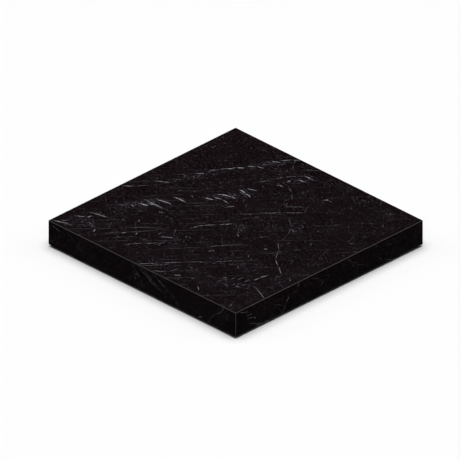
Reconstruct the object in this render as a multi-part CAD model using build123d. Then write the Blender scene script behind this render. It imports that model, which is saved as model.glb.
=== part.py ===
"""Tooling slab: a square block of veined black stone on four stick-on rubber feet.

Millimetres. +Z is up, the origin is on the bench under the middle of the slab, and the slab's sides lie
along X and Y. The front is the -Y side. The feet stand on z = 0 and the work surface is the top face.
"""

import os

from build123d import *

# Driving dimensions
SIDE = 305.0  # the slab is square in plan, 12 inches
STONE_THICKNESS = 32.0
ARRIS = 0.7  # flat ground along every edge, so that no edge is sharp enough to chip
FOOT_DIAMETER = 20.0  # where the foot meets its adhesive disc
FOOT_HEIGHT = 2.0
FOOT_INSET = 25.0  # from the slab's sides to a foot's centre
ADHESIVE_THICKNESS = 0.5

# Details of a foot
FOOT_DRAFT = 0.4  # how much narrower the moulded foot is at its tread, on the radius
TREAD_ROUND = 0.5  # round between the foot's side and its tread
DIMPLE_RADIUS = 2.0  # blind dimple in the middle of the tread
GROOVE_RADII = (4.0, 6.5)  # middle of each grip groove
GROOVE_WIDTH = 0.9
GROOVE_DEPTH = 0.4
ADHESIVE_SETBACK = 0.5  # the adhesive disc is this much smaller than the foot, on the radius

STONE_BOTTOM = FOOT_HEIGHT + ADHESIVE_THICKNESS
FOOT_OFFSET = SIDE / 2 - FOOT_INSET  # from the slab's centre to a foot's centre, along X and along Y
CORNERS = {
    "front_left": (-FOOT_OFFSET, -FOOT_OFFSET),
    "front_right": (FOOT_OFFSET, -FOOT_OFFSET),
    "back_left": (-FOOT_OFFSET, FOOT_OFFSET),
    "back_right": (FOOT_OFFSET, FOOT_OFFSET),
}
STANDING = (Align.CENTER, Align.CENTER, Align.MIN)


def stone_slab():
    """The block of stone, with a flat arris along all twelve edges."""
    block = Box(SIDE, SIDE, STONE_THICKNESS, align=STANDING)
    return Pos(0, 0, STONE_BOTTOM) * chamfer(block.edges(), ARRIS)


def rubber_foot():
    """A moulded foot standing on z = 0: a low tapered puck with a dimple and ring grooves in its tread."""
    top_radius = FOOT_DIAMETER / 2
    puck = Solid.make_cone(top_radius - FOOT_DRAFT, top_radius, FOOT_HEIGHT)
    tread_edge = puck.edges().sort_by(Axis.Z)[0]
    puck = fillet(tread_edge, TREAD_ROUND)
    puck -= Cylinder(DIMPLE_RADIUS, GROOVE_DEPTH, align=STANDING)
    for middle in GROOVE_RADII:
        outer = Cylinder(middle + GROOVE_WIDTH / 2, GROOVE_DEPTH, align=STANDING)
        inner = Cylinder(middle - GROOVE_WIDTH / 2, GROOVE_DEPTH, align=STANDING)
        puck -= outer - inner
    return puck


def adhesive_disc():
    """The die-cut disc of double-sided foam tape that holds one foot to the stone."""
    disc = Cylinder(FOOT_DIAMETER / 2 - ADHESIVE_SETBACK, ADHESIVE_THICKNESS, align=STANDING)
    return Pos(0, 0, FOOT_HEIGHT) * disc


def main():
    os.makedirs("parts", exist_ok=True)
    export_step(stone_slab(), "parts/stone_slab.step")
    for corner, (x, y) in CORNERS.items():
        export_step(Pos(x, y, 0) * rubber_foot(), f"parts/foot_{corner}.step")
        export_step(Pos(x, y, 0) * adhesive_disc(), f"parts/adhesive_{corner}.step")


main()
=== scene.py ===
"""Looks of the tooling slab: a block of black, white-veined stone on four stick-on rubber feet.

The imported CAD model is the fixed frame. The stone is rebuilt here with eased, slightly nicked edges, and
its veins are a solid pattern that runs on round the edges. Every larger vein is one or more thin lenses of
calcite with a place in the stone, and the finest lines and flecks come from noise. The feet and their
adhesive stay as the CAD has them, with moulded rubber and foam finishes.
"""

import math
import random

import bmesh
import bpy
from mathutils import Matrix, Vector, noise


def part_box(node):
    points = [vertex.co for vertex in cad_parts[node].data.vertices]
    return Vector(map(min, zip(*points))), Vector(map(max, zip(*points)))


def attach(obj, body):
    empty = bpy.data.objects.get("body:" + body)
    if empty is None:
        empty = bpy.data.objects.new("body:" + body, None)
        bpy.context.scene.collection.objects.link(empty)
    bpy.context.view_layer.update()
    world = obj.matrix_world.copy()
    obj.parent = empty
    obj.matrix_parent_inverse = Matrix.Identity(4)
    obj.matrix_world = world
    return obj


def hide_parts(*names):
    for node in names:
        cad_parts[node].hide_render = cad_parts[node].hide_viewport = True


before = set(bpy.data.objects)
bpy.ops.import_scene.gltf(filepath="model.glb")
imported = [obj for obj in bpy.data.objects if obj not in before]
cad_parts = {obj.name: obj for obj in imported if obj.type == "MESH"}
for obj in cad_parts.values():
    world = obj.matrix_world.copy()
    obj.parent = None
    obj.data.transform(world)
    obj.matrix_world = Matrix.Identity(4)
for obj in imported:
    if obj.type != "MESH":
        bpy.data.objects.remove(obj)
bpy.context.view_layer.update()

MM = 0.001
STONE_LOW, STONE_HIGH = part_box("stone_slab")
STONE_HALF = (STONE_HIGH - STONE_LOW) / 2
STONE_CENTRE = (STONE_HIGH + STONE_LOW) / 2
CORNER_NAMES = ("front_left", "front_right", "back_left", "back_right")


# ---------------------------------------------------------------- shader formulas

MIX_SHARE, MIX_FIRST, MIX_SECOND, MIX_RESULT = 0, 6, 7, 2  # the colour sockets of a Mix node
FLECK_CHANCE = (0.66, 0.95)
FLECK_HEART = 0.4  # share of a fleck's radius that is at full strength
FLECK_STRENGTH = 0.9

class Value:
    """A socket of a shader tree that can be used in formulas: each operation adds one Math node."""

    def __init__(self, tree, socket):
        self.tree, self.socket = tree, socket

    def math(self, operation, *others, clamp=False):
        node = self.tree.nodes.new("ShaderNodeMath")
        node.operation, node.use_clamp = operation, clamp
        for slot, item in zip(node.inputs, (self, *others)):
            plug(self.tree, item, slot)
        return Value(self.tree, node.outputs[0])

    def __add__(self, other):
        return self.math("ADD", other)

    def __sub__(self, other):
        return self.math("SUBTRACT", other)

    def __mul__(self, other):
        return self.math("MULTIPLY", other)

    def __abs__(self):
        return self.math("ABSOLUTE")

    def at_most(self, other):
        return self.math("MINIMUM", other)

    def at_least(self, other):
        return self.math("MAXIMUM", other)

    def ramp(self, low, high):
        """0 at low and 1 at high, straight between them; low may be the larger."""
        node = self.tree.nodes.new("ShaderNodeMapRange")
        plug(self.tree, self, node.inputs["Value"])
        node.inputs["From Min"].default_value = low
        node.inputs["From Max"].default_value = high
        return Value(self.tree, node.outputs["Result"])


def plug(tree, item, socket):
    """Feeds a Value, a socket or a plain number, colour or vector to a node's input."""
    if isinstance(item, Value):
        tree.links.new(item.socket, socket)
    elif isinstance(item, bpy.types.NodeSocket):
        tree.links.new(item, socket)
    else:
        socket.default_value = item


def vector_math(tree, operation, *items):
    """One Vector Math node that gives a vector."""
    node = tree.nodes.new("ShaderNodeVectorMath")
    node.operation = operation
    for slot, item in zip(node.inputs, items):
        plug(tree, item, slot)
    return Value(tree, node.outputs["Vector"])


def noise_at(tree, place, size, detail=2.0, rough=0.5, output="Fac"):
    """Blender's noise with features about size millimetres across, 0 to 1 about 0.5."""
    node = tree.nodes.new("ShaderNodeTexNoise")
    plug(tree, place, node.inputs["Vector"])
    node.inputs["Scale"].default_value = 1.0 / size
    node.inputs["Detail"].default_value = detail
    node.inputs["Roughness"].default_value = rough
    return Value(tree, node.outputs[output])


def cracks_at(tree, place, size):
    """Distance, in cells, to the nearest wall of a Voronoi foam with cells of that many millimetres."""
    node = tree.nodes.new("ShaderNodeTexVoronoi")
    node.feature = "DISTANCE_TO_EDGE"
    plug(tree, place, node.inputs["Vector"])
    node.inputs["Scale"].default_value = 1.0 / size
    return Value(tree, node.outputs["Distance"])


def sheets_at(tree, place, bearing, dip, spacing, width):
    """Thin parallel sheets at random distances, spacing apart on average: 1 in the middle of a sheet."""
    _, across, _ = axes_of(tree, laid(tree, place, bearing, dip, (spacing,) * 3))
    node = tree.nodes.new("ShaderNodeTexVoronoi")
    node.voronoi_dimensions = "1D"
    node.feature = "DISTANCE_TO_EDGE"
    plug(tree, across, node.inputs["W"])
    node.inputs["Scale"].default_value = 1.0
    return Value(tree, node.outputs["Distance"]).ramp(width / 2 / spacing, 0.0)


def flecks_at(tree, place, bearing, dip, length, width, spread):
    """Scattered flat flecks of this length and thickness, in millimetres, in random strengths.

    They lie about spread lengths apart along the bearing, and spread thicknesses apart across it. Each has a
    random number. Below the first of FLECK_CHANCE it is left out, above the second it is at its strongest.
    """
    cell = (length * spread, width * spread, length * spread)
    radius = 0.5 / spread
    node = tree.nodes.new("ShaderNodeTexVoronoi")
    plug(tree, laid(tree, place, bearing, dip, cell), node.inputs["Vector"])
    node.inputs["Scale"].default_value = 1.0
    chance = tree.nodes.new("ShaderNodeSeparateColor")
    tree.links.new(node.outputs["Color"], chance.inputs[0])
    inside = Value(tree, node.outputs["Distance"]).ramp(radius, radius * FLECK_HEART)
    return inside * Value(tree, chance.outputs[0]).ramp(*FLECK_CHANCE) * FLECK_STRENGTH


def moved(tree, place, size, reach):
    """place, shifted every way by up to about reach millimetres, in swirls of size millimetres."""
    swirl = noise_at(tree, place, size, output="Color")
    centred = vector_math(tree, "SUBTRACT", swirl, (0.5, 0.5, 0.5))
    shift = vector_math(tree, "MULTIPLY", centred, (2 * reach, 2 * reach, 2 * reach))
    return vector_math(tree, "ADD", place, shift)


def laid(tree, place, bearing, dip, sizes):
    """place along axes of its own, each divided by its size: X is along the bearing and Z down the dip."""
    node = tree.nodes.new("ShaderNodeMapping")
    node.vector_type = "TEXTURE"
    plug(tree, place, node.inputs["Vector"])
    node.inputs["Rotation"].default_value = (math.radians(dip), 0, math.radians(bearing))
    node.inputs["Scale"].default_value = sizes
    return Value(tree, node.outputs["Vector"])


def contour(value, level, half_width):
    """A thin line, 1 in its middle, where a noise passes through level."""
    return abs(value - level).ramp(half_width, 0.0)


def mixed(tree, share, first, second):
    """The first colour where share is 0, the second where it is 1."""
    node = tree.nodes.new("ShaderNodeMix")
    node.data_type = "RGBA"
    plug(tree, share, node.inputs[MIX_SHARE])
    plug(tree, first, node.inputs[MIX_FIRST])
    plug(tree, second, node.inputs[MIX_SECOND])
    return Value(tree, node.outputs[MIX_RESULT])


def bare_material(name):
    """A new material with only an output and a Principled shader."""
    material = bpy.data.materials.new(name)
    material.use_nodes = True
    tree = material.node_tree
    tree.nodes.clear()
    output = tree.nodes.new("ShaderNodeOutputMaterial")
    shader = tree.nodes.new("ShaderNodeBsdfPrincipled")
    tree.links.new(shader.outputs["BSDF"], output.inputs["Surface"])
    return material, tree, shader


def axes_of(tree, place):
    """The parts of a vector along X, Y and Z."""
    split = tree.nodes.new("ShaderNodeSeparateXYZ")
    plug(tree, place, split.inputs[0])
    return [Value(tree, part) for part in split.outputs]


def bumped(tree, shader, height):
    """Gives the shader a bump from a height in millimetres."""
    bump = tree.nodes.new("ShaderNodeBump")
    bump.inputs["Distance"].default_value = MM
    plug(tree, height, bump.inputs["Height"])
    tree.links.new(bump.outputs["Normal"], shader.inputs["Normal"])


# ---------------------------------------------------------------- veins
# Places are millimetres in the stone: x from its left side, y from its front side. Heights are above the top
# face, so depths are negative. A vein is its width in millimetres, its strength from 0 to 1, and the points
# that it runs through.

LADDER = (  # the broad white rungs that climb from the front left corner towards the back
    (3.0, 0.9, (134, 281), (153, 282)),
    (3.0, 0.8, (136, 269), (149, 273)),
    (3.4, 0.8, (132, 256), (132, 263)),
    (3.2, 0.8, (127, 245), (138, 245)),
    (3.2, 0.9, (110, 214), (122, 218)),
    (3.2, 1.0, (104, 206), (117, 205), (128, 202)),
    (2.2, 0.7, (109, 202), (122, 203)),
    (4.0, 1.0, (95, 181), (108, 187)),
    (2.6, 0.9, (102, 185), (120, 189)),
    (3.4, 0.9, (97, 172), (108, 176), (119, 174)),
    (3.6, 0.9, (90, 164), (101, 168)),
    (2.8, 0.7, (122, 164), (130, 175)),
    (3.6, 1.0, (63, 140), (83, 142)),
    (3.6, 1.0, (51, 122), (75, 127)),
    (3.0, 0.9, (42, 113), (79, 113)),
    (3.4, 1.0, (52, 109), (66, 113)),
    (4.2, 1.0, (44, 101), (58, 106)),
    (2.8, 0.7, (76, 103), (81, 107)),
    (4.4, 0.9, (41, 94), (47, 91)),
    (3.6, 0.4, (31, 83), (41, 89)),
    (3.2, 0.9, (20, 47), (45, 53)),
    (3.8, 0.9, (28, 43), (27, 36)),
    (3.6, 0.6, (15, 29), (24, 37)),
    (3.2, 0.9, (3, 4), (25, 11)),
    (2.4, 0.6, (11, 8), (16, 18)),
)

SLIVERS = (  # thin companions of the rungs
    (0.45, 0.4, (130, 284), (147, 286)),
    (0.45, 0.4, (139, 271), (147, 275)),
    (0.45, 0.4, (124, 248), (132, 247)),
    (0.45, 0.4, (106, 209), (116, 209)),
    (0.45, 0.4, (118, 200), (128, 198)),
    (0.45, 0.4, (98, 178), (112, 184)),
    (0.45, 0.4, (104, 190), (116, 191)),
    (0.45, 0.4, (92, 174), (99, 178)),
    (0.45, 0.4, (66, 144), (81, 145)),
    (0.45, 0.4, (54, 125), (70, 130)),
    (0.45, 0.4, (60, 110), (78, 111)),
    (0.45, 0.35, (46, 116), (60, 117)),
    (0.45, 0.4, (37, 97), (44, 100)),
    (0.45, 0.4, (24, 51), (37, 54)),
    (0.45, 0.35, (33, 88), (38, 94)),
    (0.45, 0.35, (8, 12), (20, 17)),
)

EDGE_VEIN = (  # the nearly unbroken vein that runs along the left side and on to the back
    (3.4, 0.7, (3, 116), (16, 128)),
    (3.0, 0.4, (15, 127), (25, 140)),
    (2.6, 0.9, (21, 151), (38, 161)),
    (1.6, 0.4, (28, 178), (38, 190), (45, 197)),
    (3.0, 0.7, (43, 196), (51, 204)),
    (2.2, 0.8, (50, 210), (55, 222), (62, 231)),
    (2.8, 1.0, (61, 229), (67, 239), (74, 246)),
    (2.6, 0.8, (74, 250), (81, 257), (91, 261)),
    (1.6, 0.4, (78, 270), (95, 281)),
    (3.0, 0.9, (84, 279), (96, 283)),
    (2.2, 0.8, (90, 286), (100, 297), (107, 304)),
    (1.8, 0.5, (80, 265), (90, 272)),
)

THREADS = (  # long, thin and nearly straight, most of them rising to the back right
    (1.8, 0.5, (108, 231), (116, 251), (122, 263)),
    (1.8, 0.5, (121, 262), (130, 274), (137, 281)),
    (1.8, 0.5, (124, 289), (141, 304)),
    (1.2, 0.5, (103, 302), (108, 291), (119, 280)),
    (1.8, 0.6, (160, 183), (178, 203), (197, 221)),
    (1.2, 0.4, (197, 221), (188, 235)),
    (1.4, 0.4, (152, 153), (163, 171), (166, 179)),
    (1.2, 0.4, (150, 151), (137, 130)),
    (2.0, 0.8, (131, 113), (145, 131), (159, 146)),
    (2.0, 0.7, (129, 101), (134, 118)),
    (1.8, 0.6, (100, 21), (115, 40), (129, 53)),
    (2.2, 0.6, (129, 50), (130, 62)),
    (2.2, 0.8, (118, 62), (131, 74)),
    (1.3, 0.4, (65, 24), (82, 43), (99, 63)),
    (1.3, 0.4, (79, 54), (92, 69)),
    (1.3, 0.8, (144, 0), (162, 22), (179, 41)),
    (1.3, 0.6, (150, 0), (172, 28)),
    (1.5, 0.5, (179, 41), (202, 65), (224, 92)),
    (2.0, 0.5, (168, 1), (182, 14), (186, 29)),
    (1.8, 0.6, (174, 86), (181, 98), (188, 106)),
    (1.4, 0.4, (188, 106), (197, 121)),
    (1.4, 0.4, (195, 136), (208, 155)),
    (1.3, 0.35, (139, 159), (159, 180)),
    (1.3, 0.45, (169, 213), (190, 232)),
    (1.3, 0.3, (133, 37), (176, 88), (207, 129)),
    (1.3, 0.3, (59, 12), (87, 47), (113, 85)),
    (1.3, 0.35, (81, 59), (113, 85)),
)

CRACKS = (  # healed cracks that run the other way, to the front right
    (1.3, 0.7, (222, 151), (236, 139), (249, 121)),
    (1.6, 0.8, (249, 120), (262, 112), (280, 100)),
    (1.3, 0.4, (190, 200), (210, 186), (220, 169), (224, 156)),
    (2.2, 0.5, (290, 103), (299, 95)),
    (1.4, 0.3, (262, 106), (246, 92), (240, 84)),
    (2.2, 0.8, (269, 89), (266, 77), (266, 68)),
    (1.8, 0.5, (262, 68), (261, 57)),
    (1.8, 0.5, (253, 66), (251, 56)),
    (1.8, 0.5, (246, 59), (246, 51)),
    (2.8, 0.5, (240, 52), (236, 47)),
    (1.6, 0.4, (219, 38), (232, 42), (246, 50)),
    (1.8, 0.8, (278, 59), (305, 47)),
    (1.3, 0.5, (137, 252), (153, 243), (166, 231)),
    (2.0, 0.5, (166, 223), (173, 214)),
    (1.2, 0.3, (275, 181), (281, 162), (289, 157)),
    (1.2, 0.3, (285, 152), (292, 138)),
    (1.2, 0.3, (162, 300), (165, 285), (173, 275)),
    (1.3, 0.4, (188, 303), (198, 287)),
    (1.3, 0.3, (210, 186), (222, 178)),
    (1.1, 0.3, (222, 205), (236, 216), (247, 232)),
    (1.1, 0.3, (196, 100), (212, 92), (222, 96)),
)

FLECKS = (  # short lone spots
    (3.2, 0.7, (112, 73), (113, 66)),
    (2.6, 0.7, (72, 76), (77, 71)),
    (3.0, 0.9, (53, 24), (56, 18)),
    (2.6, 0.5, (36, 31), (42, 27)),
    (2.0, 0.5, (59, 43), (60, 36)),
    (2.6, 0.8, (81, 38), (84, 45)),
    (2.6, 0.6, (93, 53), (95, 46)),
    (3.0, 0.6, (75, 157), (80, 155)),
    (2.4, 0.4, (56, 152), (61, 160)),
    (2.6, 0.6, (34, 185), (41, 184)),
    (3.2, 0.8, (191, 257), (196, 261)),
    (1.6, 0.5, (195, 260), (203, 260)),
    (2.4, 0.7, (280, 265), (284, 259)),
    (3.4, 0.5, (266, 290), (271, 286)),
    (2.2, 0.6, (222, 128), (227, 132)),
    (2.6, 0.7, (176, 131), (183, 128)),
    (2.6, 0.6, (180, 79), (186, 85)),
    (2.6, 0.5, (219, 107), (224, 101)),
    (3.0, 0.9, (192, 13), (199, 17)),
    (3.0, 0.7, (229, 14), (238, 7)),
    (2.4, 0.5, (285, 15), (291, 3)),
    (2.4, 0.5, (229, 79), (234, 76)),
    (2.4, 0.4, (252, 178), (256, 171)),
    (2.2, 0.5, (118, 90), (125, 79)),
)

HAZES = (  # clouds of fine calcite, with curls and flecks in them
    (15, 0.5, (28, 66), (62, 128)),
    (14, 0.45, (88, 158), (124, 214)),
    (12, 0.4, (124, 240), (152, 290)),
    (10, 0.5, (28, 150), (66, 232)),
    (12, 0.5, (70, 240), (104, 300)),
    (14, 0.5, (8, 4), (60, 40)),
    (10, 0.4, (222, 20), (286, 62)),
    (20, 0.5, (160, 150), (182, 133)),
    (22, 0.35, (205, 200), (226, 176)),
    (16, 0.35, (95, 158), (128, 142)),
    (18, 0.3, (22, 75), (60, 68)),
    (22, 0.35, (268, 96), (304, 78)),
    (18, 0.35, (120, 78), (150, 62)),
    (24, 0.3, (250, 292), (284, 276)),
    (20, 0.3, (100, 272), (118, 258)),
    (18, 0.3, (188, 42), (216, 30)),
    (16, 0.35, (6, 20), (46, 34)),
)

FRONT_VEINS = (  # seen on the front side: x from the left side, and height
    (1.1, 0.5, (151, 0), (170, -12), (188, -23)),
    (1.2, 0.5, (134, -1), (147, -14)),
    (1.1, 0.3, (172, -3), (190, -12)),
    (1.2, 0.6, (199, -15), (206, -22), (216, -31)),
    (1.1, 0.7, (285, 0), (283, -8), (272, -15)),
    (1.1, 0.6, (272, -15), (263, -24), (261, -32)),
    (2.1, 0.9, (242, -32), (251, -26)),
    (1.2, 0.35, (27, -1), (43, -12), (58, -23)),
    (1.2, 0.3, (19, -10), (17, -20), (10, -31)),
    (1.6, 0.5, (189, -26), (193, -24)),
    (1.6, 0.4, (291, -7), (294, -10)),
    (1.2, 0.3, (70, -30), (83, -28), (108, -26)),
    (1.2, 0.3, (138, -14), (141, -27)),
    (1.2, 0.3, (150, -16), (156, -29)),
)

SIDE_HAZES = (  # clouds of fine calcite on the front side
    (14, 0.5, (138, -8), (152, -28)),
    (12, 0.35, (48, -6), (58, -20)),
    (12, 0.35, (272, -4), (296, -16)),
    (10, 0.35, (2, -28), (14, -20)),
    (10, 0.3, (184, -14), (206, -22)),
)

RIGHT_VEINS = (  # seen on the right side: y from the front side, and height
    (1.6, 0.7, (7, -2), (20, -6)),
    (1.3, 0.7, (18, -11), (28, -12)),
    (1.3, 0.7, (18, -15), (28, -17), (34, -21)),
    (1.3, 0.6, (21, -23), (33, -27)),
    (2.0, 0.9, (32, -28), (44, -30), (58, -32)),
    (1.3, 0.7, (88, -12), (82, -20)),
    (1.3, 0.7, (82, -20), (77, -28), (73, -32)),
    (1.6, 0.7, (104, 0), (101, -7)),
    (1.1, 0.4, (12, -6), (24, -8)),
    (1.1, 0.35, (66, -15), (78, -22)),
    (1.1, 0.3, (92, -9), (106, -13)),
    (1.1, 0.3, (120, -2), (138, -10)),
    (1.6, 0.35, (63, -14), (76, -21)),
    (1.8, 0.4, (182, -2), (190, -10), (199, -14)),
    (1.2, 0.3, (194, -14), (211, -21)),
    (2.2, 0.4, (138, -20), (145, -15)),
    (2.6, 0.4, (233, -20), (239, -25)),
    (3.0, 0.5, (243, -28), (257, -32)),
    (1.6, 0.35, (225, -1), (233, -6)),
    (1.6, 0.3, (242, -7), (256, -12)),
)

LEFT_VEINS = (  # on the left side: y from the front side, and height
    (0.8, 0.8, (114, 0), (108, -9), (97, -17)),
    (0.6, 0.6, (97, -17), (92, -26), (84, -32)),
    (0.6, 0.5, (5, 0), (14, -8), (19, -19)),
    (0.4, 0.5, (58, 0), (70, -11), (88, -21)),
    (0.4, 0.4, (151, -4), (168, -13), (190, -20)),
    (0.9, 0.8, (201, -23), (214, -28)),
    (0.6, 0.6, (196, -29), (206, -32)),
    (0.4, 0.45, (240, 0), (252, -13), (257, -30)),
    (0.7, 0.5, (280, -9), (286, -13)),
)

BACK_VEINS = (  # on the back side: x from the left side, and height
    (0.7, 0.8, (107, 0), (112, -9), (121, -16)),
    (0.5, 0.6, (121, -16), (126, -25), (136, -32)),
    (0.5, 0.5, (141, 0), (152, -12), (170, -22)),
    (0.4, 0.4, (188, 0), (184, -13), (190, -27)),
    (0.4, 0.45, (30, -6), (46, -14), (70, -19)),
    (1.0, 0.8, (228, -26), (240, -30)),
    (0.6, 0.6, (222, -20), (233, -23)),
    (0.4, 0.4, (258, 0), (270, -15), (291, -24)),
    (0.7, 0.5, (14, -22), (20, -25)),
)

TOP_DIP = Vector((0.8, -1.0, -1.0))  # the way the veins of the top face run down into the stone
INWARD_FROM_FRONT = Vector((0.0, 1.0, 0.3))
INWARD_FROM_RIGHT = Vector((-1.0, 0.0, 0.3))
INWARD_FROM_LEFT = Vector((1.0, 0.0, 0.3))
INWARD_FROM_BACK = Vector((0.0, -1.0, 0.3))
VEIN_REACH = 40.0  # how far a long vein runs down into the stone, half its whole extent
RUNG_REACH = 14.0
SIDE_REACH = 9.0
FLECK_REACH = RUNG_REACH / 3

# These lists give the width over which a vein shows, blur and all, and its crisp core is this share of it.
# The slivers and the veins of the left and back sides are given by their cores.
LADDER_CORE = 0.31
EDGE_VEIN_CORE = 0.30
THREAD_CORE = 0.28
FLECK_CORE = 0.35
SIDE_CORE = 0.34
THINNEST = 0.39  # no core is thinner, in millimetres
THREAD_GAIN = 1.25  # and the core of a thread or a crack is this much stronger than the blurred line

EDGE_SHARPNESS = 1.3
OVERLAP = 1.12  # each stretch of a vein is this much longer than the gap it spans


def lens_group():
    """A node group: the running maximum of the veins so far and one more lens-shaped vein.

    Along, Across and Down are the lens's axes, each divided by its half size. There are only Math and Vector
    Math nodes: their sockets need no conversion, so the render compiler can work off lens after lens.
    """
    group = bpy.data.node_groups.new("vein_lens", "ShaderNodeTree")
    for name in ("Place", "Centre", "Along", "Across", "Down"):
        group.interface.new_socket(name, in_out="INPUT", socket_type="NodeSocketVector")
    for name in ("Strength", "So far"):
        group.interface.new_socket(name, in_out="INPUT", socket_type="NodeSocketFloat")
    group.interface.new_socket("Veins", in_out="OUTPUT", socket_type="NodeSocketFloat")
    given = group.nodes.new("NodeGroupInput").outputs
    result = group.nodes.new("NodeGroupOutput")
    offset = vector_math(group, "SUBTRACT", given["Place"], given["Centre"])
    parts = []
    for axis in ("Along", "Across", "Down"):
        node = group.nodes.new("ShaderNodeVectorMath")
        node.operation = "DOT_PRODUCT"
        plug(group, offset, node.inputs[0])
        plug(group, given[axis], node.inputs[1])
        part = Value(group, node.outputs["Value"])
        parts.append(part * part)
    inside = (parts[0] + parts[1] + parts[2]) * -EDGE_SHARPNESS + EDGE_SHARPNESS
    veins = (inside.at_most(1.0) * given["Strength"]).at_least(given["So far"])
    group.links.new(veins.socket, result.inputs["Veins"])
    return group


def add_lens(tree, group, place, so_far, ends, width, strength, into, reach):
    """One lens of a vein: between two points of the surface, and reaching into the stone both ways."""
    start, end = (Vector(spot) for spot in ends)
    along = (end - start).normalized()
    down = (into - into.dot(along) * along).normalized()
    across = down.cross(along)
    node = tree.nodes.new("ShaderNodeGroup")
    node.node_tree = group
    plug(tree, place, node.inputs["Place"])
    node.inputs["Centre"].default_value = (start + end) / 2
    node.inputs["Along"].default_value = along / ((end - start).length / 2 * OVERLAP)
    node.inputs["Across"].default_value = across / (width / 2)
    node.inputs["Down"].default_value = down / reach
    node.inputs["Strength"].default_value = strength
    plug(tree, so_far, node.inputs["So far"])
    return Value(tree, node.outputs["Veins"])


def veins_of(tree, group, place, so_far, veins, on_surface, into, reach, core=1.0, gain=1.0):
    """Adds each stretch of each vein; on_surface turns a vein's point into a place in the stone."""
    for width, strength, *points in veins:
        thickness = max(width * core, THINNEST)
        spots = [on_surface(*point) for point in points]
        for ends in zip(spots, spots[1:]):
            so_far = add_lens(tree, group, place, so_far, ends, thickness, strength * gain, into, reach)
    return so_far


def on_top(x, y):
    """The place in the stone of a point of the top face; those below do the same for the sides."""
    return (x, y, 0.0)


def on_front(x, z):
    return (x, 0.0, z)


def on_right(y, z):
    return (2 * STONE_HALF.x / MM, y, z)


def on_left(y, z):
    return (0.0, y, z)


def on_back(x, z):
    return (x, 2 * STONE_HALF.y / MM, z)


# ---------------------------------------------------------------- materials
# The last two numbers of a noise are its detail and its roughness. Those of a ramp are the levels between
# which a pattern comes up.

DARK_STONE = (0.0006, 0.0, 0.0001, 1)
LIGHT_STONE = (0.0116, 0.0067, 0.0080, 1)
BLUE_STONE = (0.0078, 0.0079, 0.0105, 1)
HAIRLINE = (0.105, 0.100, 0.112, 1)
HAZE_BLUE = (0.034, 0.037, 0.048, 1)
CALCITE_GREY = (0.070, 0.070, 0.083, 1)
CALCITE_WHITE = (0.40, 0.40, 0.44, 1)
GROUND_STONE_AND_HIGHLIGHT = (0.026, 0.0245, 0.025, 1)  # where the finish is coarse, black stone is grey; on the arrises this grey, with the one below, is also a painted highlight
CHALKY_STONE_AND_HIGHLIGHT = (0.060, 0.057, 0.058, 1)
RUBBER_BLACK = (0.016, 0.016, 0.017, 1)
RUBBER_DUST = (0.034, 0.033, 0.032, 1)
FOAM_WALL = (0.20, 0.20, 0.19, 1)
FOAM_GREY = (0.36, 0.36, 0.35, 1)

# Sizes of the stone's patterns and details, in millimetres
CLOUD_SIZE = 34.0
GRAIN_SIZE = 2.7
CALM_SIZE = 45.0  # patches with a weaker grain
BLUE_SIZE = 17.0
PATCH_SIZE = 26.0  # patches that are rich in curls, between patches that are rich in fine cracks
LONG_CURL_SIZE = 30.0
CURL_SIZE = 4.5
NET_SIZE = 12.0
BREAK_SIZE = 4.0  # lengths of a hairline between its gaps
THREAD_BREAK_SIZE = 7.0
SCATTER_SIZE = 30.0  # patches that are rich in flecks
MOTTLE_SIZE = 2.4
FIBRE_SIZE = 2.3
GRIT_SIZE = 0.8
SHEEN_SIZE = 18.0
THREAD_WIDTH = 0.34
PIT_SPACING = 12.0
ARRIS = 0.7  # width and height of the flat along the stone's edges
FACE_DEPTHS = (0.02, 0.09)  # less deep than the first is a face, deeper than the second an arris or nick

# Sizes of the feet's patterns, in millimetres
RUBBER_GRAIN = 0.45
DUST_SIZE = 3.5
FOAM_CELL = 0.22

# What bends the patterns: size and reach of the swirls, in millimetres
LOOSE_SWIRL = (9.0, 1.2)
ROUGH_SWIRL = (2.6, 0.5)
FINE_SWIRL = (1.0, 0.22)
THREAD_BEND = (70.0, 3.0)
THREAD_WAVER = (4.0, 0.25)

UPRIGHT = (20.0, 30.0, (1, 1, 5))  # bearing and dip of the curls, which go five times as deep as wide

# Strengths and shares
CLOUD_SHARE = 0.2  # of the ground's lightness; the rest is grain
CALMING = 0.6  # how much of the grain the calm patches lose
CURLS_IN_HAZE = 2.2
CURLS_IN_PATCHES = 0.5
NET_STRENGTH = 0.8
HAIRLINE_STRENGTH = 0.75
HAIRLINES_IN_HAZE = 0.8  # how much stronger they are there
FLECKS_IN_HAZE = 1.5
HAZE_STRENGTH = 0.3
SIDE_FADE = 0.7  # how much fainter the fine lines are on the sides than on the top
HAZE_UNFADES = 1.3  # how much of that a haze takes back
SIDE_HEIGHTS = (-0.9, -0.5)  # the fade begins below the second height, and is whole below the first
SAWN_HEIGHTS = (0.04, 0.08)  # over the underside: sawn below the first, and not at all above the second
FIBRE_SHARE = 0.75  # how much of a vein's strength its fibres can take away
ARRIS_CHALK_AND_HIGHLIGHT, SAWN_CHALK = 0.8, 0.6  # how much of an arris's and of the sawn stone's colour is the coarse grey; on the arrises that grey is partly a painted highlight
SMOOTH_ROUGHNESS = 0.16
SHEEN_CHANGE, VEIN_CHANGE, DULL_CHANGE = 0.12, 0.12, 0.42  # what these add to the roughness
GRIT_HEIGHT = 0.05  # millimetres
PIT_HEIGHT = -0.004

FLECK_FAMILIES = (  # bearing, dip, length, thickness and spread
    (47.0, 30.0, 3.2, 0.45, 4.0),
    (-42.0, -25.0, 2.6, 0.45, 4.5),
    (8.0, 20.0, 1.8, 0.6, 4.5),
    (0.0, 0.0, 0.85, 0.85, 2.6),
)

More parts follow.
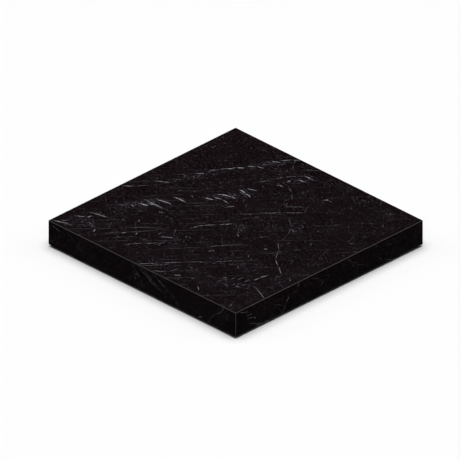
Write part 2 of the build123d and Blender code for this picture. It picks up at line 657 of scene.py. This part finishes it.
THREAD_FAMILIES = (  # bearing, dip, length, spacing, strength, and how rare the threads are
    (47.0, 35.0, 46.0, 7.0, 1.0, 0.54),
    (50.0, 25.0, 30.0, 5.0, 0.6, 0.57),
    (-42.0, -35.0, 34.0, 9.0, 0.5, 0.57),
)
SPARSE_BEHIND = 240.0  # threads thin out towards the back, from FULL_BEFORE to here, to SPARSE_SHARE
FULL_BEFORE = 130.0
SPARSE_SHARE = 0.4

SAW_CENTRE = (-180.0, 420.0, 0.0)  # of the blade's arcs on the underside, in millimetres in the stone
SAW_ARCS = ((1.7, 0.04), (0.43, 0.05))  # fine and coarse: radians per millimetre, height in millimetres
SAW_SWIRL = (60.0, 1.5)
SAW_WEAR_SIZE = 40.0


def millimetres(tree):
    """The place in the row frame, in millimetres."""
    given = tree.nodes.new("ShaderNodeTexCoord").outputs["Object"]
    return vector_math(tree, "MULTIPLY", given, (1 / MM,) * 3)


def stone_place(tree):
    """Millimetres in the stone, as the veins use them."""
    origin = Vector((STONE_LOW.x, STONE_LOW.y, STONE_HIGH.z)) / MM
    return vector_math(tree, "SUBTRACT", millimetres(tree), origin)


def off_the_faces(tree):
    """0 on the block's flat faces and 1 where the surface lies deeper, on an arris or in a nick."""
    given = tree.nodes.new("ShaderNodeTexCoord").outputs["Object"]
    centred = vector_math(tree, "SUBTRACT", given, STONE_CENTRE)
    away = vector_math(tree, "ABSOLUTE", centred)
    x, y, z = axes_of(tree, vector_math(tree, "SUBTRACT", away, STONE_HALF))
    return x.at_least(y).at_least(z).ramp(*(-depth * MM for depth in FACE_DEPTHS))


def below_height(tree, place, low, high):
    """1 below the low height and 0 above the high one, in millimetres from the top face."""
    _, _, height = axes_of(tree, place)
    return height.ramp(high, low)


def stone_material():
    """Black stone: its ground, then hairlines, hazes, flecks and veins of calcite, then the dull places,
    whose grey on the arrises is partly a painted highlight.
    """
    material, tree, shader = bare_material("black_veined_stone")
    group = lens_group()
    place = stone_place(tree)
    loose = moved(tree, place, *LOOSE_SWIRL)
    rough = moved(tree, moved(tree, loose, *ROUGH_SWIRL), *FINE_SWIRL)

    hazes = veins_of(tree, group, loose, 0.0, HAZES, on_top, TOP_DIP, RUNG_REACH)
    hazes = veins_of(tree, group, loose, hazes, SIDE_HAZES, on_front, INWARD_FROM_FRONT, SIDE_REACH)
    faint = hazes * HAZE_UNFADES - SIDE_FADE
    shown = (below_height(tree, place, *SIDE_HEIGHTS) * faint + 1.0).at_most(1.0)

    ground = mixed(tree, hairlines(tree, place, rough, hazes) * shown, ground_colour(tree, place), HAIRLINE)
    mottle = noise_at(tree, rough, MOTTLE_SIZE, 3.0, 0.7).ramp(0.50, 0.60)
    ground = mixed(tree, hazes * mottle * HAZE_STRENGTH, ground, HAZE_BLUE)

    fibres = noise_at(tree, place, FIBRE_SIZE, 3.0, 0.75).ramp(0.38, 0.58)
    veins = placed_veins(tree, group, rough) * (fibres * FIBRE_SHARE + (1 - FIBRE_SHARE))
    veins = veins.at_least(scattered_flecks(tree, place, loose, hazes) * shown)
    calcite = mixed(tree, veins * veins, CALCITE_GREY, CALCITE_WHITE)
    smooth = mixed(tree, veins.ramp(0.04, 0.5), ground, calcite)

    # Arrises and nicks are ground and painted a lighter grey, partly as a painted highlight along the edges,
    # and the underside is sawn
    arris = off_the_faces(tree)
    bottom = -2 * STONE_HALF.z / MM
    sawn = below_height(tree, place, *(bottom + height for height in SAWN_HEIGHTS))
    grit = noise_at(tree, place, GRIT_SIZE, 2.0, 0.7)
    dull = arris.at_least(sawn)
    chalky_and_highlight = mixed(tree, grit.ramp(0.2, 0.8), GROUND_STONE_AND_HIGHLIGHT, CHALKY_STONE_AND_HIGHLIGHT)
    colour = mixed(tree, (arris * ARRIS_CHALK_AND_HIGHLIGHT).at_least(sawn * SAWN_CHALK), smooth, chalky_and_highlight)
    plug(tree, colour, shader.inputs["Base Color"])

    sheen = noise_at(tree, place, SHEEN_SIZE, 3.0, 0.6) * SHEEN_CHANGE
    roughness = sheen + veins * VEIN_CHANGE + SMOOTH_ROUGHNESS + dull * DULL_CHANGE
    plug(tree, roughness, shader.inputs["Roughness"])

    pits = cracks_at(tree, rough, PIT_SPACING).ramp(0.02, 0.0) * PIT_HEIGHT
    bumped(tree, shader, sawn * kerf(tree, place) + dull * grit * GRIT_HEIGHT + pits)
    return material


def ground_colour(tree, place):
    """Clouds, a crystalline grain that is weaker in calm patches, and bluer patches."""
    cloud = noise_at(tree, place, CLOUD_SIZE, 4.0, 0.6).ramp(0.32, 0.68)
    grain = noise_at(tree, place, GRAIN_SIZE, 3.0, 0.85).ramp(0.45, 0.57)
    calm = noise_at(tree, place, CALM_SIZE, 2.0, 0.5).ramp(0.50, 0.60)
    grain = (grain * -1.0 + 0.5) * calm * CALMING + grain
    tone = cloud * CLOUD_SHARE + grain * (1 - CLOUD_SHARE)
    blue = noise_at(tree, place, BLUE_SIZE, 4.0, 0.7).ramp(0.52, 0.68)
    return mixed(tree, blue * grain, mixed(tree, tone, DARK_STONE, LIGHT_STONE), BLUE_STONE)


def hairlines(tree, place, rough, hazes):
    """Curls, most of them in the hazes, a broken net of fine cracks, and long straight threads."""
    upright = laid(tree, rough, *UPRIGHT)
    patchy = noise_at(tree, place, PATCH_SIZE, 2.0, 0.5)
    long_curls = contour(noise_at(tree, upright, LONG_CURL_SIZE, 3.0, 0.6), 0.52, 0.004)
    curls = cracks_at(tree, upright, CURL_SIZE).ramp(0.045, 0.0)
    curls = curls * (hazes * CURLS_IN_HAZE).at_least(patchy.ramp(0.46, 0.60) * CURLS_IN_PATCHES)
    net = cracks_at(tree, upright, NET_SIZE).ramp(0.016, 0.0) * patchy.ramp(0.52, 0.40) * NET_STRENGTH
    broken = noise_at(tree, rough, BREAK_SIZE, 2.0, 0.6).ramp(0.50, 0.60)
    curly = long_curls.at_least(curls).at_least(net)
    strength = hazes * HAIRLINES_IN_HAZE + HAIRLINE_STRENGTH
    return (curly * broken * strength).at_least(bedding_threads(tree, place))


def bedding_threads(tree, place):
    """Long, straight and very fine threads of calcite: thin sheets in the stone, most along one bearing."""
    straight = moved(tree, moved(tree, place, *THREAD_BEND), *THREAD_WAVER)
    _, from_front, _ = axes_of(tree, place)
    dense = from_front.ramp(SPARSE_BEHIND, FULL_BEFORE) * (1 - SPARSE_SHARE) + SPARSE_SHARE
    total = 0.0
    for bearing, dip, length, spacing, strength, rarity in THREAD_FAMILIES:
        sheets = sheets_at(tree, straight, bearing, dip, spacing, THREAD_WIDTH)
        shown = noise_at(tree, laid(tree, place, bearing, dip, (length, spacing, length)), 1.0)
        total = (sheets * shown.ramp(rarity, rarity + 0.08) * strength).at_least(total)
    return total * dense * noise_at(tree, place, THREAD_BREAK_SIZE, 3.0, 0.6).ramp(0.34, 0.46)


def scattered_flecks(tree, place, loose, hazes):
    """Short flecks of calcite, lying along the bedding and across it, and round grains."""
    total = 0.0
    for bearing, dip, length, thickness, spread in FLECK_FAMILIES:
        total = flecks_at(tree, loose, bearing, dip, length, thickness, spread).at_least(total)
    scattered = noise_at(tree, place, SCATTER_SIZE, 3.0, 0.6).ramp(0.44, 0.66)
    return total * scattered.at_least(hazes * FLECKS_IN_HAZE)


def placed_veins(tree, group, rough):
    """The veins that have a place of their own, on the top and on the four sides."""
    veins = 0.0
    for those, reach, core, gain in (
        (LADDER, RUNG_REACH, LADDER_CORE, 1.0),
        (SLIVERS, RUNG_REACH, 1.0, 1.0),
        (EDGE_VEIN, VEIN_REACH, EDGE_VEIN_CORE, 1.0),
        (THREADS, VEIN_REACH, THREAD_CORE, THREAD_GAIN),
        (CRACKS, VEIN_REACH, THREAD_CORE, THREAD_GAIN),
        (FLECKS, FLECK_REACH, FLECK_CORE, 1.0),
    ):
        veins = veins_of(tree, group, rough, veins, those, on_top, TOP_DIP, reach, core, gain)
    for those, on_side, inward, core in (
        (FRONT_VEINS, on_front, INWARD_FROM_FRONT, SIDE_CORE),
        (RIGHT_VEINS, on_right, INWARD_FROM_RIGHT, SIDE_CORE),
        (LEFT_VEINS, on_left, INWARD_FROM_LEFT, 1.0),
        (BACK_VEINS, on_back, INWARD_FROM_BACK, 1.0),
    ):
        veins = veins_of(tree, group, rough, veins, those, on_side, inward, SIDE_REACH, core)
    return veins


def kerf(tree, place):
    """Shallow arcs that a big round saw blade left on the underside."""
    node = tree.nodes.new("ShaderNodeVectorMath")
    node.operation = "DISTANCE"
    plug(tree, moved(tree, place, *SAW_SWIRL), node.inputs[0])
    node.inputs[1].default_value = SAW_CENTRE
    radius = Value(tree, node.outputs["Value"])
    fine, coarse = ((radius * pitch).math("SINE") * height for pitch, height in SAW_ARCS)
    return (fine + coarse) * noise_at(tree, place, SAW_WEAR_SIZE, 2.0, 0.5)


def rubber_material():
    """Matt moulded rubber: nearly black, with a fine spark-eroded grain and a little dust on it."""
    material, tree, shader = bare_material("moulded_rubber")
    place = millimetres(tree)
    grain = noise_at(tree, place, RUBBER_GRAIN, 3.0, 0.6)
    dust = noise_at(tree, place, DUST_SIZE, 4.0, 0.65).ramp(0.45, 0.75)
    plug(tree, mixed(tree, dust, RUBBER_BLACK, RUBBER_DUST), shader.inputs["Base Color"])
    plug(tree, grain * 0.15 + 0.55, shader.inputs["Roughness"])
    bumped(tree, shader, grain * 0.05)
    return material


def foam_material():
    """Closed-cell foam tape, grey, with its cells just showing at the cut edge."""
    material, tree, shader = bare_material("foam_tape")
    cells = cracks_at(tree, millimetres(tree), FOAM_CELL).ramp(0.0, 0.25)
    plug(tree, mixed(tree, cells, FOAM_WALL, FOAM_GREY), shader.inputs["Base Color"])
    plug(tree, cells * 0.1 + 0.75, shader.inputs["Roughness"])
    bumped(tree, shader, cells * 0.04)
    return material


# ---------------------------------------------------------------- the stone's mesh

EASE = 1.25  # 1 makes the arris a plain flat, 2 a quarter round
ARRIS_STEPS = (0.4, 1.0)  # rows from a face to the middle of an arris
MARGIN_STEPS = (0.0, 0.8, 2.0, 4.0)  # rows on a face beside the arris, in millimetres from it
ALONG_STEP = 0.8  # how finely the edges are divided along their length, in millimetres
CELLS = 8  # plain cells across the middle of a large face
SHARPEST_SMOOTH = math.radians(24)  # an edge with a greater bend is shaded as a crisp one
NICK_SEED = 7
NICKS_PER_EDGE = 4  # and one on each upright edge
NICK_SIZES = (0.7, 1.5)  # radius of the ball that scoops a nick, in millimetres, before NICK_POWER
NICK_POWER = 1.3
NICK_STAND_OFF = (0.55, 0.85)  # how far off the arris a ball's centre is, as a share of its radius
NICK_SPAN = 0.97  # share of an edge's length on which nicks lie
UNEVENNESS = 0.25  # how far a nick's surface strays from the ball, as a share of the radius
UNEVEN_PITCH = 1.7


def axis_lines(inner):
    """Lines across a face along one axis: (place inside the arrises, share of the arris), from low to high.

    Gives the edge band's lines at each end and the fine lines between; every cell_step-th fine line is a
    side of the middle's plain cells.
    """
    band = [(-inner, -step) for step in reversed(ARRIS_STEPS)]
    band += [(margin - inner, 0.0) for margin in MARGIN_STEPS]
    reach = inner - MARGIN_STEPS[-1]
    cells = max(1, round(CELLS * inner * MM / STONE_HALF.x))
    cell_step = max(1, round(2 * reach / cells / ALONG_STEP))
    count = cells * cell_step
    between = [(-reach + 2 * reach * i / count, 0.0) for i in range(count + 1)]
    mirrored = [(-place, -share) for place, share in reversed(band)]
    return band, between, mirrored, cell_step


def eased(inner, axis, sign, u_line, v_line):
    """Where two lines cross on the face on axis and sign, in millimetres from the block's centre."""
    u, v = (axis + 1) % 3, (axis + 2) % 3
    share, nominal = Vector(), Vector()
    share[axis], nominal[axis] = 1.0, sign * inner[axis]
    share[u], nominal[u] = abs(u_line[1]), u_line[0]
    share[v], nominal[v] = abs(v_line[1]), v_line[0]
    size = sum(part**EASE for part in share) ** (1 / EASE)
    outward = Vector([math.copysign(1, part) for part in nominal])
    return nominal + Vector([ARRIS * share[k] / size * outward[k] for k in range(3)])


def block_mesh():
    """The block as a welded mesh: fine rows along every edge, and large flat cells amid each face."""
    inner = STONE_HALF / MM - Vector((ARRIS,) * 3)
    bm = bmesh.new()
    made = {}

    def vertex(point):
        key = tuple(round(part, 3) for part in point)
        if key not in made:
            made[key] = bm.verts.new(point)
        return made[key]

    for axis in range(3):
        u, v = (axis + 1) % 3, (axis + 2) % 3
        u_low, u_mid, u_high, u_step = axis_lines(inner[u])
        v_low, v_mid, v_high, v_step = axis_lines(inner[v])
        u_lines, v_lines = u_low + u_mid[1:-1] + u_high, v_low + v_mid[1:-1] + v_high
        u_cells = range(len(u_low) - 1, len(u_lines) - len(u_high), u_step)
        v_cells = range(len(v_low) - 1, len(v_lines) - len(v_high), v_step)
        for sign in (-1, 1):

            def at(i, j):
                return vertex(eased(inner, axis, sign, u_lines[i], v_lines[j]))

            def face(ring):
                bm.faces.new(ring if sign > 0 else ring[::-1])

            middle = (range(u_cells.start, u_cells.stop), range(v_cells.start, v_cells.stop))
            for i in range(len(u_lines) - 1):
                for j in range(len(v_lines) - 1):
                    if i not in middle[0] or j not in middle[1]:
                        face([at(i, j), at(i + 1, j), at(i + 1, j + 1), at(i, j + 1)])
            for i in u_cells:
                for j in v_cells:
                    face(cell_ring(at, i, j, u_step, v_step, u_cells, v_cells))
    return bm


def cell_ring(at, i, j, u_step, v_step, u_cells, v_cells):
    """Corners of one plain cell, with every fine point on those of its sides that meet the edge rows."""
    last_i, last_j = i + u_step, j + v_step
    fine_i, fine_j = range(i, last_i), range(j, last_j)
    ring = [at(k, j) for k in (fine_i if j == v_cells[0] else [i])]
    ring += [at(last_i, k) for k in (fine_j if i == u_cells[-1] else [j])]
    ring += [at(k + 1, last_j) for k in (reversed(fine_i) if j == v_cells[-1] else [last_i - 1])]
    ring += [at(i, k + 1) for k in (reversed(fine_j) if i == u_cells[0] else [last_j - 1])]
    return ring


def edge_nicks():
    """Centres and radii of the balls that scoop small nicks out of the arrises, in millimetres."""
    chance = random.Random(NICK_SEED)
    half = STONE_HALF / MM
    arris_depth = ARRIS / 2 * math.sqrt(2) * 0.6  # about how far the eased arris lies inside a plain edge
    nicks = []
    for axis in range(3):
        u, v = (axis + 1) % 3, (axis + 2) % 3
        for u_sign in (-1, 1):
            for v_sign in (-1, 1):
                for _ in range(NICKS_PER_EDGE if axis < 2 else 1):
                    radius = chance.uniform(*NICK_SIZES) ** NICK_POWER
                    centre = Vector()
                    centre[axis] = chance.uniform(-NICK_SPAN, NICK_SPAN) * half[axis]
                    stand_off = radius * chance.uniform(*NICK_STAND_OFF) - arris_depth
                    centre[u] = u_sign * (half[u] + stand_off / math.sqrt(2))
                    centre[v] = v_sign * (half[v] + stand_off / math.sqrt(2))
                    nicks.append((centre, radius))
    return nicks


def scoop(bm, nicks):
    """Pushes the points inside each ball back to its surface, as a chip of stone breaks away."""
    for vert in bm.verts:
        for centre, radius in nicks:
            away = vert.co - centre
            if max(abs(part) for part in away) < radius * 1.2:  # quick, and leaves few points to work out
                uneven = radius * (1 + UNEVENNESS * noise.noise(vert.co * UNEVEN_PITCH))
                if 1e-6 < away.length < uneven:
                    vert.co = centre + away.normalized() * uneven


def build_stone(material):
    """The stone with its nicks, in the place of the CAD's slab."""
    bm = block_mesh()
    bm.normal_update()
    scoop(bm, edge_nicks())
    bm.normal_update()
    for edge in bm.edges:
        edge.smooth = len(edge.link_faces) == 2 and edge.calc_face_angle() < SHARPEST_SMOOTH
    for face in bm.faces:
        face.smooth = True
    bmesh.ops.transform(bm, matrix=Matrix.Translation(STONE_CENTRE) @ Matrix.Scale(MM, 4), verts=bm.verts)
    mesh = bpy.data.meshes.new("stone_block")
    bm.to_mesh(mesh)
    bm.free()
    mesh.materials.append(material)
    stone = bpy.data.objects.new("stone_block", mesh)
    bpy.context.scene.collection.objects.link(stone)
    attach(stone, "root")
    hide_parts("stone_slab")
    return stone


def finish_feet():
    """The CAD feet and adhesive discs keep their shapes and get their real finishes."""
    rubber, foam = rubber_material(), foam_material()
    for corner in CORNER_NAMES:
        for node, material, slot in (
            ("foot_" + corner, rubber, "foot_rubber"),
            ("adhesive_" + corner, foam, "adhesive_foam"),
        ):
            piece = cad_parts[node]
            piece.material_slots[0].material = material


# ---------------------------------------------------------------- studio

AZIMUTH, ELEVATION = math.radians(45.0), math.radians(29.71)
PICTURE_WIDTH = 529.2 * MM  # what the picture takes in, in parallel projection
SLAB_RIGHT_BY = 6.5 * MM  # how far the middle of the work surface stands from the middle of the picture
SLAB_UP_BY = 11.3 * MM
CAMERA_DISTANCE = 2.0  # metres
FLOOR_HALF_SIDE = 6.0
FLOOR_GREY = (0.72, 0.72, 0.72, 1)
BACKDROP = (1, 1, 1, 1)
DIM_ROOM = (0.006, 0.006, 0.006, 1)


def direction(azimuth, elevation):
    """The unit vector from the object towards a viewer or a light at these angles, in radians."""
    level = math.cos(elevation)
    return Vector((math.sin(azimuth) * level, -math.cos(azimuth) * level, math.sin(elevation)))


def add_camera():
    """A camera in parallel projection, off the front right corner."""
    data = bpy.data.cameras.new("camera")
    data.type = "ORTHO"
    data.ortho_scale = PICTURE_WIDTH
    camera = bpy.data.objects.new("camera", data)
    bpy.context.scene.collection.objects.link(camera)
    back = direction(AZIMUTH, ELEVATION)
    right = Vector((math.cos(AZIMUTH), math.sin(AZIMUTH), 0))
    up = back.cross(right)
    work_surface = Vector((STONE_CENTRE.x, STONE_CENTRE.y, STONE_HIGH.z))
    aim = work_surface - right * SLAB_RIGHT_BY - up * SLAB_UP_BY
    camera.location = aim + back * CAMERA_DISTANCE
    camera.rotation_euler = (-back).to_track_quat("-Z", "Y").to_euler()
    bpy.context.scene.camera = camera


def add_sun(name, azimuth, elevation, power, softness):
    """A soft light at infinity, so that the whole floor is lit alike. Angles in degrees, as the camera's."""
    data = bpy.data.lights.new(name, "SUN")
    data.energy, data.angle = power, math.radians(softness)
    sun = bpy.data.objects.new(name, data)
    bpy.context.scene.collection.objects.link(sun)
    towards = direction(math.radians(azimuth), math.radians(elevation))
    sun.rotation_euler = towards.to_track_quat("Z", "Y").to_euler()
    return sun


def add_floor():
    """A plain pale floor."""
    bm = bmesh.new()
    bmesh.ops.create_grid(bm, x_segments=1, y_segments=1, size=FLOOR_HALF_SIDE)
    mesh = bpy.data.meshes.new("floor")
    bm.to_mesh(mesh)
    bm.free()
    floor = bpy.data.objects.new("floor", mesh)
    bpy.context.scene.collection.objects.link(floor)
    material, _, shader = bare_material("pale_floor")
    shader.inputs["Base Color"].default_value = FLOOR_GREY
    shader.inputs["Roughness"].default_value = 0.9
    shader.inputs["Specular IOR Level"].default_value = 0.0
    mesh.materials.append(material)
    floor.visible_glossy = False  # a black flag: the dark stone doesn't mirror the bright floor


def add_world():
    """Pale where the camera looks past the floor, and dim for everything else."""
    world = bpy.data.worlds.new("studio")
    bpy.context.scene.world = world
    world.use_nodes = True
    tree = world.node_tree
    tree.nodes.clear()
    output = tree.nodes.new("ShaderNodeOutputWorld")
    background = tree.nodes.new("ShaderNodeBackground")
    seen = tree.nodes.new("ShaderNodeLightPath").outputs["Is Camera Ray"]
    colour = mixed(tree, seen, DIM_ROOM, BACKDROP)
    plug(tree, colour, background.inputs["Color"])
    tree.links.new(background.outputs[0], output.inputs["Surface"])


def add_studio():
    """Camera, floor, surroundings and lights."""
    add_camera()
    add_floor()
    add_world()
    overhead = add_sun("overhead", azimuth=0, elevation=90, power=4.0, softness=50)
    overhead.visible_glossy = False  # as if cross-polarised: the smooth top doesn't mirror it
    add_sun("left_rim", azimuth=-50, elevation=38, power=0.25, softness=30)
    add_sun("right_rim", azimuth=140, elevation=38, power=0.25, softness=30)
    bpy.context.scene.view_settings.view_transform = "Standard"


add_studio()
build_stone(stone_material())
finish_feet()
